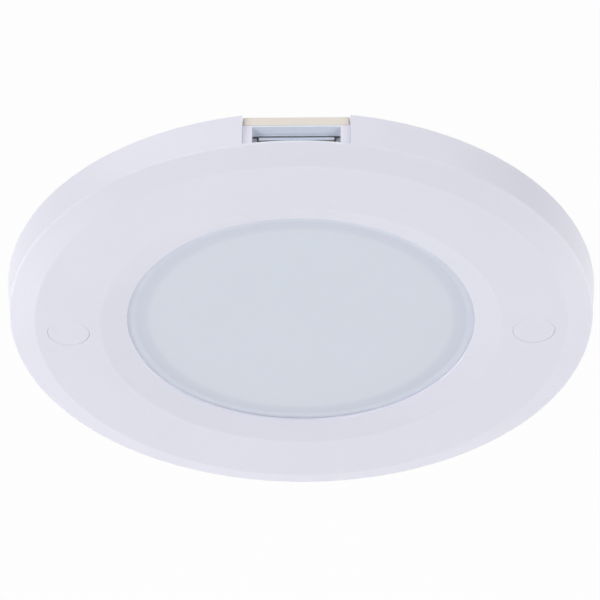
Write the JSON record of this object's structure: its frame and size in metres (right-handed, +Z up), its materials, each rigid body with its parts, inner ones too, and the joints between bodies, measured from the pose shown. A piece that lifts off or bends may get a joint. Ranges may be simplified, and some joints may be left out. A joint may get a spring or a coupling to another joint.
{
  "type": "underwater pool light",
  "caption": "Slim round underwater pool light on a wall bracket, with a dished lens, pull-out screw caps and a press bar in a notch of the rim that lets the head off.",
  "frame": {"origin": "centre of the circle of wall screw holes, on the bracket's back face", "axes": "+Z up the wall to the notch, +Y into the wall, so the face looks along -Y"},
  "size_m": [0.2831, 0.0355, 0.2817],
  "materials": {
    "white_cover": "glossy moulded white, faintly cool",
    "cream_plastic": "matte moulded cream",
    "clear_lens": "clear glossy polycarbonate, faintly blue",
    "frosted_diffuser": "frosted opal",
    "seal_rubber": "matte silicone rubber",
    "white_silicone": "matte white silicone rubber",
    "white_housing": "satin moulded off-white",
    "stainless_steel": "stainless steel",
    "spreader_aluminium": "plain rolled sheet",
    "brass": "turned brass",
    "white_board": "white solder mask",
    "light_chip": "yellow phosphor",
    "dark_component": "moulded black",
    "white_reflector": "matte white",
    "grey_nylon": "moulded grey nylon"
  },
  "bodies": {
    "bracket": {"wall_bracket": "cream_plastic", "bracket_inserts": "brass"},
    "head": {"front_cover": "white_cover", "lens": "clear_lens", "diffuser": "frosted_diffuser", "lens_gasket": "white_silicone", "clamp_ring": "white_housing", "clamp_screws": "stainless_steel", "housing": "white_housing", "heat_spreader": "spreader_aluminium", "led_board": "white_board", "led_chips": "light_chip", "driver_parts": "dark_component", "wire_terminals": "white_board", "reflector": "white_reflector", "gland_body": "grey_nylon", "gland_seal": "seal_rubber", "gland_nut": "grey_nylon", "cover_screws": "stainless_steel", "fixing_screws": "stainless_steel", "screw_retainers": "grey_nylon", "latch_pocket": "white_cover", "latch_screws": "stainless_steel", "latch_guides": "grey_nylon", "catch_spring": "stainless_steel", "spring_screws": "stainless_steel"},
    "latch": {"latch_bar": "stainless_steel"},
    "cap_left": {"screw_cap_left": "white_cover"},
    "cap_right": {"screw_cap_right": "white_cover"}
  },
  "joints": [
    {"name": "head_pull", "type": "slide", "parent": "bracket", "child": "head", "axis": [0, -1, 0], "range_m": [0, 0.04], "deforming": ["catch_spring"]},
    {"name": "latch_press", "type": "slide", "parent": "head", "child": "latch", "axis": [0, 0, -1], "range_m": [0, 0.002], "stiffness_N_per_m": 2500, "springref_m": -0.001, "deforming": ["catch_spring"]},
    {"name": "cap_left_pull", "type": "slide", "parent": "head", "child": "cap_left", "axis": [0, -1, 0], "range_m": [0, 0.012]},
    {"name": "cap_right_pull", "type": "slide", "parent": "head", "child": "cap_right", "axis": [0, -1, 0], "range_m": [0, 0.012]}
  ]
}
